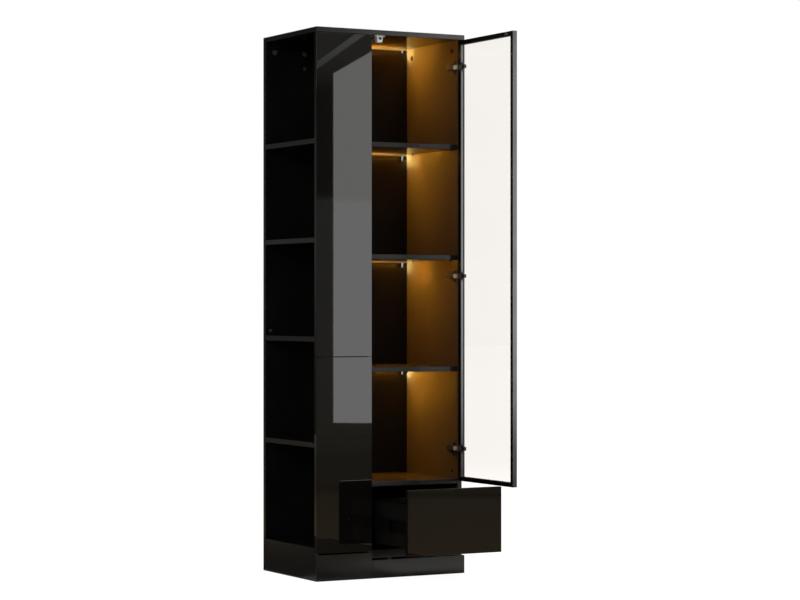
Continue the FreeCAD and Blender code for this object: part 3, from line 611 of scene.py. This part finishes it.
# Lower and upper corner and colour of the flat patches on the mat: the dark ones are painted shade
# and the pale one painted light on the floor that the fronts mirror.
PATCHES = (("dark_patch_left", (-1.3, -0.05), (-0.29, 1.2), (0.048, 0.042, 0.036)),
           ("dark_patch_front", (0.02, -1.5), (0.43, -0.80), (0.115, 0.085, 0.060)),
           ("dark_patch_corner", (-0.45, -0.95), (-0.085, -0.26), (0.10, 0.08, 0.06)),
           ("dark_patch_right", (0.40, -1.16), (0.80, -0.72), (0.022, 0.017, 0.012)),
           ("pale_patch", (0.08, -0.71), (0.70, -0.30), (0.98, 0.96, 0.93)))
# The tall light and the beam above it stand this far before the side unit's front.
FRONT_MIDDLE = (-0.177, -0.200, 0.0)
TALL_AWAY, BEAM_AWAY = 4.0, 4.02
# Corners as a distance to the right and a height.
TALL_CORNERS = ((-0.144, 0.322), (1.10, 0.309), (1.10, 2.75), (-0.144, 2.033))
TALL_BANDS = ((1.40, (1.0, 1.0, 1.0)), (1.42, (0.87, 0.87, 0.845)))
BEAM_CORNERS = ((-0.45, 1.896), (0.30, 2.431), (0.30, 2.475), (-0.45, 1.928))
BEAM_BANDS = ((1.90, (0.10, 0.10, 0.09)), (2.06, (0.65, 0.65, 0.63)), (2.20, (1.0, 1.0, 0.98)))
# Bay by bay, first the top one and then under cabinet shelves 1, 2 and 3: how much shorter the
# strip's light is than its cover, and the powers of the boards' and the corner's lights.
STRIP_SHORTER = (0.036, 0.044, 0.058, 0.044)
BOARD_SHARE = (1.0, 1.0, 0.97, 0.97)
CORNER_SHARE = (0.046, 0.048, 0.032, 0.050)
CORNER_LIGHT = (1.0, 0.68, 0.20)


class BOOKCASE_OT_stage(bpy.types.Operator):
    """Make the camera, the pale floor, the reflected room and the lamps"""
    bl_idname = "bookcase.stage"
    bl_label = "Stage"

    def execute(self, context):
        stage = settings()[2]
        camera_data = bpy.data.cameras.new("camera")
        camera_data.sensor_width = 36.0
        camera_data.lens = stage.lens
        camera_data.shift_y = stage.shift
        camera_data.clip_end = 100.0
        camera = bpy.data.objects.new("camera", camera_data)
        camera.location = stage.eye
        camera.rotation_euler = (math.pi / 2, 0.0, stage.turn)
        context.scene.collection.objects.link(camera)
        context.scene.camera = camera
        context.scene.view_settings.view_transform = "Standard"
        make_world(stage)
        make_floor()
        make_room()
        make_lamps(stage)
        return {"FINISHED"}


def seen_directly(tree):
    """1 for camera, mirror and see-through rays."""
    path = tree.nodes.new("ShaderNodeLightPath")
    most = path.outputs["Is Camera Ray"]
    for kind in ("Is Glossy Ray", "Is Transmission Ray"):
        greater = tree.nodes.new("ShaderNodeMath")
        greater.operation = "MAXIMUM"
        tree.links.new(most, greater.inputs[0])
        tree.links.new(path.outputs[kind], greater.inputs[1])
        most = greater.outputs[0]
    return most


def make_world(stage):
    world = bpy.data.worlds.new("studio")
    world.use_nodes = True
    tree = world.node_tree
    background = tree.nodes["Background"]
    background.inputs["Color"].default_value = (1, 1, 1, 1)
    strength = tree.nodes.new("ShaderNodeMapRange")
    tree.links.new(seen_directly(tree), strength.inputs["Value"])
    strength.inputs["To Min"].default_value = stage.sky
    strength.inputs["To Max"].default_value = 1.0
    tree.links.new(strength.outputs["Result"], background.inputs["Strength"])
    bpy.context.scene.world = world


def stage_piece(name, verts, faces, material):
    mesh = plain_mesh(name, verts, faces)
    mesh.update()
    mesh.materials.append(material)
    obj = bpy.data.objects.new(name, mesh)
    bpy.context.scene.collection.objects.link(obj)
    return obj


def only_in_mirrors(obj):
    """Seen in polished surfaces and nowhere else."""
    obj.visible_camera = False
    obj.visible_diffuse = False
    obj.visible_transmission = False
    obj.visible_shadow = False


def make_floor():
    """Pale floor: white where it is lit, greyer in the shadow of the object."""
    material = bpy.data.materials.new("pale_floor")
    material.use_nodes = True
    tree = material.node_tree
    tree.nodes.clear()
    out = tree.nodes.new("ShaderNodeOutputMaterial")
    plain = tree.nodes.new("ShaderNodeBsdfDiffuse")
    plain.inputs["Color"].default_value = (0.8, 0.8, 0.8, 1)
    seen = tree.nodes.new("ShaderNodeBsdfDiffuse")
    seen.inputs["Color"].default_value = (0.16, 0.16, 0.16, 1)
    glow = tree.nodes.new("ShaderNodeEmission")
    glow.inputs["Strength"].default_value = 0.955
    both = tree.nodes.new("ShaderNodeAddShader")
    mix = tree.nodes.new("ShaderNodeMixShader")
    tree.links.new(seen.outputs[0], both.inputs[0])
    tree.links.new(glow.outputs[0], both.inputs[1])
    tree.links.new(seen_directly(tree), mix.inputs[0])
    tree.links.new(plain.outputs[0], mix.inputs[1])
    tree.links.new(both.outputs[0], mix.inputs[2])
    tree.links.new(mix.outputs[0], out.inputs[0])
    flat_piece("pale_floor", (-FLOOR_HALF, -FLOOR_HALF), (FLOOR_HALF, FLOOR_HALF), 0.0, material)


def flat_piece(name, low, high, z, material):
    (x0, y0), (x1, y1) = low, high
    return stage_piece(name, [(x0, y0, z), (x1, y0, z), (x1, y1, z), (x0, y1, z)],
                       [(0, 1, 2, 3)], material)


def glow_material(name, rgb, strength):
    material = bpy.data.materials.new(name)
    material.use_nodes = True
    tree = material.node_tree
    tree.nodes.clear()
    out = tree.nodes.new("ShaderNodeOutputMaterial")
    glow = tree.nodes.new("ShaderNodeEmission")
    glow.inputs["Color"].default_value = (*rgb, 1)
    glow.inputs["Strength"].default_value = strength
    tree.links.new(glow.outputs[0], out.inputs[0])
    return material, tree, glow


def ramp_along(tree, value, start, end, stops):
    """Colours set at places along a value that runs from start to end."""
    scaled = tree.nodes.new("ShaderNodeMapRange")
    scaled.inputs["From Min"].default_value = start
    scaled.inputs["From Max"].default_value = end
    tree.links.new(value, scaled.inputs["Value"])
    ramp = tree.nodes.new("ShaderNodeValToRGB")
    tree.links.new(scaled.outputs["Result"], ramp.inputs[0])
    while len(ramp.color_ramp.elements) < len(stops):
        ramp.color_ramp.elements.new(0.5)
    for element, (at, rgb) in zip(ramp.color_ramp.elements, stops):
        element.position = (at - start) / (end - start)
        element.color = (*rgb, 1)
    return ramp.outputs[0]


def place_parts(tree):
    place = tree.nodes.new("ShaderNodeTexCoord")
    parts = tree.nodes.new("ShaderNodeSeparateXYZ")
    tree.links.new(place.outputs["Object"], parts.inputs[0])
    return place.outputs["Object"], parts.outputs


def make_room():
    """The dim room that polished black shows: a domed wall and a floor mat, in mirrors only.

    The wall is a profile of radius and height turned about the vertical axis.
    """
    material, tree, glow = glow_material("dim_wall", (1, 1, 1), 1.0)
    parts = place_parts(tree)[1]
    before = ramp_along(tree, parts["Z"], 0.0, ROOM_RADIUS, WALL_BEFORE)
    behind = ramp_along(tree, parts["Z"], 0.0, ROOM_RADIUS, WALL_BEHIND)
    half = tree.nodes.new("ShaderNodeMapRange")
    half.inputs["From Min"].default_value = -0.5
    half.inputs["From Max"].default_value = 0.5
    tree.links.new(parts["Y"], half.inputs["Value"])
    both = tree.nodes.new("ShaderNodeMix")
    both.data_type = "RGBA"
    tree.links.new(half.outputs["Result"], both.inputs["Factor"])
    tree.links.new(before, both.inputs[6])
    tree.links.new(behind, both.inputs[7])
    tree.links.new(both.outputs[2], glow.inputs["Color"])
    profile = np.array(WALL_PROFILE)
    turns = np.linspace(0, 2 * np.pi, ROOM_TURNS, endpoint=False)
    verts = np.stack([profile[:, :1] * np.cos(turns), profile[:, :1] * np.sin(turns),
                      np.repeat(profile[:, 1:], ROOM_TURNS, 1)], -1).reshape(-1, 3)
    faces = grid(len(profile), ROOM_TURNS, wrap_cols=True)
    only_in_mirrors(stage_piece("dim_wall", verts, faces, material))
    make_mat(turns)
    for number, (name, low, high, rgb) in enumerate(PATCHES):
        material = glow_material(name, rgb, 1.0)[0]
        only_in_mirrors(flat_piece(name, low, high, 0.0006 + 0.0002 * number, material))


def make_mat(turns):
    """A round floor mat, in mirrors only, whose colour changes with the distance."""
    mat = bpy.data.materials.new("warm_mat")
    mat.use_nodes = True
    tree = mat.node_tree
    place = place_parts(tree)[0]
    far = tree.nodes.new("ShaderNodeVectorMath")
    far.operation = "LENGTH"
    tree.links.new(place, far.inputs[0])
    shader = tree.nodes["Principled BSDF"]
    tree.links.new(ramp_along(tree, far.outputs["Value"], 0.0, ROOM_RADIUS, MAT_RINGS),
                   shader.inputs["Base Color"])
    shader.inputs["Roughness"].default_value = 0.95
    shader.inputs["Specular IOR Level"].default_value = 0.0
    disc = np.column_stack([ROOM_RADIUS * np.cos(turns), ROOM_RADIUS * np.sin(turns),
                            np.full(ROOM_TURNS, 0.0004)])
    only_in_mirrors(stage_piece("warm_mat", disc, [tuple(range(ROOM_TURNS))], mat))


def make_lamps(stage):
    """A tall light that the fronts show, fill lights that they don't, and the lit strips."""
    tall = upright_glow("tall_light", stage, TALL_AWAY, TALL_CORNERS, stage.panel_light,
                        0.0, 3.0, TALL_BANDS)
    tall.visible_camera = False
    tall.visible_transmission = False
    only_in_mirrors(upright_glow("ceiling_line", stage, BEAM_AWAY, BEAM_CORNERS, 1.0,
                                 1.8, 2.5, BEAM_BANDS))
    soft_light("fill_left", (-4.5, -3.0, 3.2), (0, 0, 0.9), (2.4, 2.4), 90)
    soft_light("top_light", (0.3, -0.6, 4.6), (0, 0, 0), (3.0, 3.0), 95)
    soft_light("back_light", (2.8, 3.4, 3.0), (0, 0, 0.9), (2.2, 2.2), 60)
    make_strip_lights(stage)


def upright_glow(name, stage, distance, corners, strength, low, high, bands):
    """A glowing upright sheet before the side unit, with bands of colour from low to high."""
    away = np.array([-math.sin(stage.turn), -math.cos(stage.turn), 0.0])
    across = np.array([math.cos(stage.turn), -math.sin(stage.turn), 0.0])
    foot = np.array(FRONT_MIDDLE) + away * distance
    verts = [foot + across * side + np.array([0, 0, up]) for side, up in corners]
    material, tree, glow = glow_material(name, (1, 1, 1), strength)
    colours = ramp_along(tree, place_parts(tree)[1]["Z"], low, high, bands)
    tree.links.new(colours, glow.inputs["Color"])
    return stage_piece(name, verts, [(0, 1, 2, 3)], material)


def make_strip_lights(stage):
    """Warm light of each strip on the boards round its bay, and a little on all else.

    Each strip is a long narrow light that faces forward and thirty degrees down. The back panel
    behind it gets a fraction of what the side and the shelves get, and a second light close to it
    that fades downwards. A small yellower light by the feed end makes the bright corner, and one
    that faces up lights the underside of the top.
    """
    rgb = settings()[0].light
    low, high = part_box("led_diffusers")
    middle = (low.x + high.x) / 2
    tilt = math.radians(30)
    lit = linked_set("lit_boards", INNER_BOARDS)
    back = linked_set("lit_back", ("cabinet_back_panel",))
    top = linked_set("lit_top", ("top_panel",))
    clear = linked_set("unshadowed", ("led_feed_ends", "led_channels", "led_diffusers",
                                      "led_tapes"), "EXCLUDE")
    tops = [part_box("top_panel")[0].z] + [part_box(f"cabinet_shelf_{n}")[0].z for n in (1, 2, 3)]
    for number, under in enumerate(tops):
        wide = (high.x - low.x - STRIP_SHORTER[number], 0.012)
        place = Vector((middle - STRIP_SHORTER[number] / 2, low.y - 0.002, under - 0.006))
        aim = place + Vector((0, -math.cos(tilt), -math.sin(tilt)))
        corner = Vector((high.x - 0.012, low.y + 0.006, under - 0.010))
        close = Vector((middle, high.y - 0.006, under - 0.005))
        below = place + Vector((0, 0, -0.054))
        lamps = [("all", place, aim, wide, 0.004, rgb, None),
                 ("boards", place, aim, wide, BOARD_SHARE[number], rgb, lit),
                 ("back", place, aim, wide, 0.0035, rgb, back),
                 ("close", close, close - Vector((0, 0, 1)), (wide[0], 0.004), 0.013, rgb, back),
                 ("corner", corner, corner + Vector((1, -0.25, -0.2)), (0.02, 0.03),
                  CORNER_SHARE[number], CORNER_LIGHT, lit)]
        if number == 0:
            lamps.append(("top", below, below + Vector((0, -0.45, 0.9)), wide, 0.3, rgb, top))
        for name, at, to, size, watts, tint, only in lamps:
            lamp = soft_light(f"strip_{number}_{name}", at, to, size, watts * stage.strip_watts)
            lamp.data.color = tint
            lamp.visible_glossy = False
            lamp.light_linking.blocker_collection = clear
            if only:
                lamp.light_linking.receiver_collection = only


def linked_set(name, nodes, state="INCLUDE"):
    """A collection of nodes, outside the scene, that a light reaches or passes through."""
    group = bpy.data.collections.new(name)
    for node in nodes:
        for obj in STAND_INS.get(node, [NODES[node]]):
            group.objects.link(obj)
    for item in group.collection_objects:
        item.light_linking.link_state = state
    return group


def soft_light(name, place, target, size, watts):
    data = bpy.data.lights.new(name, "AREA")
    data.shape = "RECTANGLE"
    data.size, data.size_y = size
    data.energy = watts
    obj = bpy.data.objects.new(name, data)
    obj.location = place
    obj.rotation_euler = (Vector(target) - Vector(place)).to_track_quat("-Z", "Y").to_euler()
    obj.visible_camera = False
    obj.visible_transmission = False
    bpy.context.scene.collection.objects.link(obj)
    return obj


# ---------------------------------------------------------------- pieces
class BOOKCASE_OT_boards(bpy.types.Operator):
    """Give the carcass boards, the fronts and the drawer box their finishes"""
    bl_idname = "bookcase.boards"
    bl_label = "Boards"

    def execute(self, context):
        sizes = settings()[1]
        # The drawer bay's floor gets the darker board copy, a painted shade.
        special = {"right_side_panel": "side", "drawer_bay_floor": "sheltered"}
        for name in BOARDS:
            plain = "shelf" if name.startswith("cabinet_shelf") else "board"
            width = sizes.plinth_round if "plinth_front" in name else sizes.board_round
            softened(name, special.get(name, plain), width)
        for name in ("drawer_side_left", "drawer_side_right", "drawer_back", "drawer_bottom"):
            softened(name, "board", sizes.board_round)
        for name in ("front_panel_upper", "front_panel_lower", "drawer_front"):
            softened(name, "gloss", sizes.front_round, 3)
        return {"FINISHED"}


class BOOKCASE_OT_door(bpy.types.Operator):
    """Give the door frame, pane and gasket their finishes"""
    bl_idname = "bookcase.door"
    bl_label = "Door"

    def execute(self, context):
        for name in ("door_hinge_stile", "door_free_stile", "door_top_rail", "door_bottom_rail"):
            softened(name, "frame", settings()[1].frame_round)
        dress("glass", "door_glass")
        NODES["door_glass"].visible_glossy = False
        dress("gasket", "glass_gasket")
        dress("zinc", "door_corner_keys")
        return {"FINISHED"}


class BOOKCASE_OT_fittings(bpy.types.Operator):
    """Finish the hinges, latch, slides and fasteners"""
    bl_idname = "bookcase.fittings"
    bl_label = "Fittings"

    def execute(self, context):
        width = settings()[1].steel_round
        softened("hinge_arms", "arm", width, smooth=True)
        softened("hinge_plates", "plate", width, smooth=True)
        cups_black_at_pins(softened("hinge_cups", "frame", width, smooth=True))
        tapered(softened("touch_latch_body", "white", width, smooth=True))
        softened("touch_latch_plunger", "dark", width, smooth=True)
        for name in ("slide_outer_members", "slide_middle_members", "slide_inner_members"):
            softened(name, "slide", settings()[1].slide_round, smooth=True)
        dress("steel", "hinge_pins", "latch_strike")
        for node, key in (("hardware_screws", "dark_steel"), ("drawer_screws", "zinc")):
            parts = [part for corners in corners_of(node) for part in cross_screw(corners)]
            piece(f"cross_{node}", body_of(NODES[node])[0], key, *joined(parts), (node,))
        dress("zinc", "cam_bolts")
        dress("dark_steel", "cam_discs")
        dress("plate", "shelf_pins")
        dress("peg", "dowels", "drawer_dowels")
        return {"FINISHED"}


def cups_black_at_pins(obj):
    """Black on the leaf and the bridge of each hinge cup, frame grey on its ears."""
    heights = np.array([(low[2] + high[2]) / 2 for low, high in solids_of("hinge_pins")])
    obj.data.materials.append(FINISHES["dark_steel"])
    centres = np.array([face.center for face in obj.data.polygons])
    off = np.abs(centres[:, 2:] - heights).min(1)
    obj.data.polygons.foreach_set("material_index", (off < settings()[1].cup_dark).astype(np.int32))


LATCH_TAPER = 0.25
LATCH_STRAIGHT = 0.1


def tapered(obj):
    """Draw the latch housing in by up to a quarter of its width, below its top tenth."""
    low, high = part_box("touch_latch_body")
    middle, reach = (low.x + high.x) / 2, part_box("touch_latch_plunger")[1].x
    for vertex in obj.data.vertices:
        off = vertex.co.x - middle
        if abs(off) > reach - middle + 0.001:
            deep = (high.z - vertex.co.z) / (high.z - low.z)
            vertex.co.x = middle + off * (1 - LATCH_TAPER * max(0.0, deep - LATCH_STRAIGHT))


class BOOKCASE_OT_caps(bpy.types.Operator):
    """Make the domed covers of the cam fastenings"""
    bl_idname = "bookcase.caps"
    bl_label = "Cover caps"

    def execute(self, context):
        grey, dark = [], []
        for low, high in solids_of("cover_caps"):
            thin = (high - low).argmin()
            outwards = np.eye(3)[thin] * (-1 if thin == 1 or low[thin] > 0 else 1)
            if thin == 0 and low[0] > 0.2:
                dark.append(domed_cap(low, high, outwards))
            else:
                grey.append(domed_cap(low, high, outwards))
        piece("upright_caps", "carcass", "grey_cap", *joined(grey), ("cover_caps",))
        piece("side_caps", "carcass", "cap", *joined(dark), ("cover_caps",))
        return {"FINISHED"}


def domed_cap(low, high, outwards):
    """A cap turned about its axis: a rim that rises by a quarter circle to a shallow dome."""
    radius = (high - low).max() / 2
    thick = (high - low).min()
    t = np.linspace(0, np.pi / 2, 5)
    rim = np.column_stack([radius * 0.9 + radius * 0.1 * np.cos(t), thick * 0.7 * np.sin(t)])
    r = np.linspace(radius * 0.9, 0, 6)[1:]
    dome = np.column_stack([r, thick * (0.7 + 0.3 * (1 - (r / (radius * 0.9)) ** 2))])
    base = (low + high) / 2 - outwards * thick / 2
    return turned(np.vstack([(0, 0), rim, dome]), base, outwards)


# The feed end's block starts this far from its solid's low corner, and its plate's slant ends
# this far from the front and back edges.
FEED_FOOT = (0.0028, 0, 0.0045)
FEED_SLANT = 0.0035
# How bright an opal cover is at some depths below its top edge, for the strip under the top panel
# and for those under the shelves, and a gain for each strip from the lowest up.
GLOW_DEPTHS = (0.0, 0.0015, 0.0042, 0.005)
TOP_GLOW = (0.40, 0.56, 0.15, 0.08)
SHELF_GLOW = (0.42, 0.20, 0.06, 1.3)
STRIP_GAINS = (0.8, 0.5, 1.0, 1.0)


class BOOKCASE_OT_strips(bpy.types.Operator):
    """Make the lit strips: aluminium channels, opal covers, tapes and feed ends"""
    bl_idname = "bookcase.strips"
    bl_label = "Lit strips"

    def execute(self, context):
        dress("channel", "led_channels")
        dress("tape", "led_tapes")
        strips = solids_of("led_diffusers")
        verts, faces = joined([opal_cover(low, high) for low, high in strips])
        cover = piece("opal_covers", "carcass", "lamp", verts, faces, ("led_diffusers",))
        tops = np.sort([high[2] for low, high in strips])
        away = np.abs(tops - verts[:, 2:])
        depth, strip = away.min(1), away.argmin(1)
        power = np.where(strip == len(tops) - 1, np.interp(depth, GLOW_DEPTHS, TOP_GLOW),
                         np.interp(depth, GLOW_DEPTHS, SHELF_GLOW))
        lit = cover.data.attributes.new("lit", "FLOAT", "POINT")
        lit.data.foreach_set("value", power * np.array(STRIP_GAINS)[strip])
        sizes = settings()[1]
        blocks, plates = [], []
        for low, high in solids_of("led_feed_ends"):
            foot = low + FEED_FOOT
            blocks.append(rounded_block(foot + (0.0010, 0, 0), high, sizes.block_round))
            plates.append(wedge_plate(foot, high, sizes.plate_thick))
        piece("feed_blocks", "carcass", "dark", *joined(blocks), ("led_feed_ends",))
        # The plates glow white: painted light where the strip lights the end of each block.
        plate = piece("feed_painted_light_plates", "carcass", "lit_white", *joined(plates), ("led_feed_ends",))
        plate.visible_glossy = False
        return {"FINISHED"}


def wedge_plate(low, high, thick):
    """A thin plate on the block's end that carries painted light, whose front edge slants back to a
    narrow foot.
    """
    y, z = (low[1], high[1]), (low[2], high[2])
    outline = [(y[0] + FEED_SLANT, z[1]), (y[1] - FEED_SLANT, z[0]), (y[1], z[0]), (y[1], z[1])]
    return drawn_bar(outline, low[0], low[0] + thick)


def opal_cover(low, high):
    """A bar whose outline is flat on top and an upright ellipse's lower half below."""
    t = np.linspace(np.pi, 2 * np.pi, 17)
    middle, half = (low[1] + high[1]) / 2, (high[1] - low[1]) / 2
    deep = high[2] - low[2]
    swell = np.abs(np.sin(t)) ** 0.45
    outline = np.column_stack([middle + half * np.cos(t), high[2] - deep * swell])
    return drawn_bar(outline, low[0], high[0])


class BOOKCASE_PT_panel(bpy.types.Panel):
    """Lists the makers of the bookcase's pieces"""
    bl_idname = "BOOKCASE_PT_panel"
    bl_label = "Bookcase"
    bl_space_type = "VIEW_3D"
    bl_region_type = "UI"
    bl_category = "Bookcase"

    def draw(self, context):
        for operator in OPERATORS:
            self.layout.operator(operator.bl_idname)


GROUPS = (BookcaseFinishes, BookcaseSizes, BookcaseStage)
OPERATORS = (BOOKCASE_OT_boards, BOOKCASE_OT_door, BOOKCASE_OT_fittings, BOOKCASE_OT_caps,
             BOOKCASE_OT_strips, BOOKCASE_OT_stage)


def register():
    for item in (*GROUPS, *OPERATORS, BOOKCASE_PT_panel):
        bpy.utils.register_class(item)
    bpy.types.Scene.bookcase_finishes = PointerProperty(type=BookcaseFinishes)
    bpy.types.Scene.bookcase_sizes = PointerProperty(type=BookcaseSizes)
    bpy.types.Scene.bookcase_stage = PointerProperty(type=BookcaseStage)


def unregister():
    del bpy.types.Scene.bookcase_stage
    del bpy.types.Scene.bookcase_sizes
    del bpy.types.Scene.bookcase_finishes
    for item in reversed((*GROUPS, *OPERATORS, BOOKCASE_PT_panel)):
        bpy.utils.unregister_class(item)


def main():
    register()
    make_finishes()
    for operator in OPERATORS:
        getattr(bpy.ops.bookcase, operator.bl_idname.split(".")[1])()


if __name__ == "__main__":
    main()
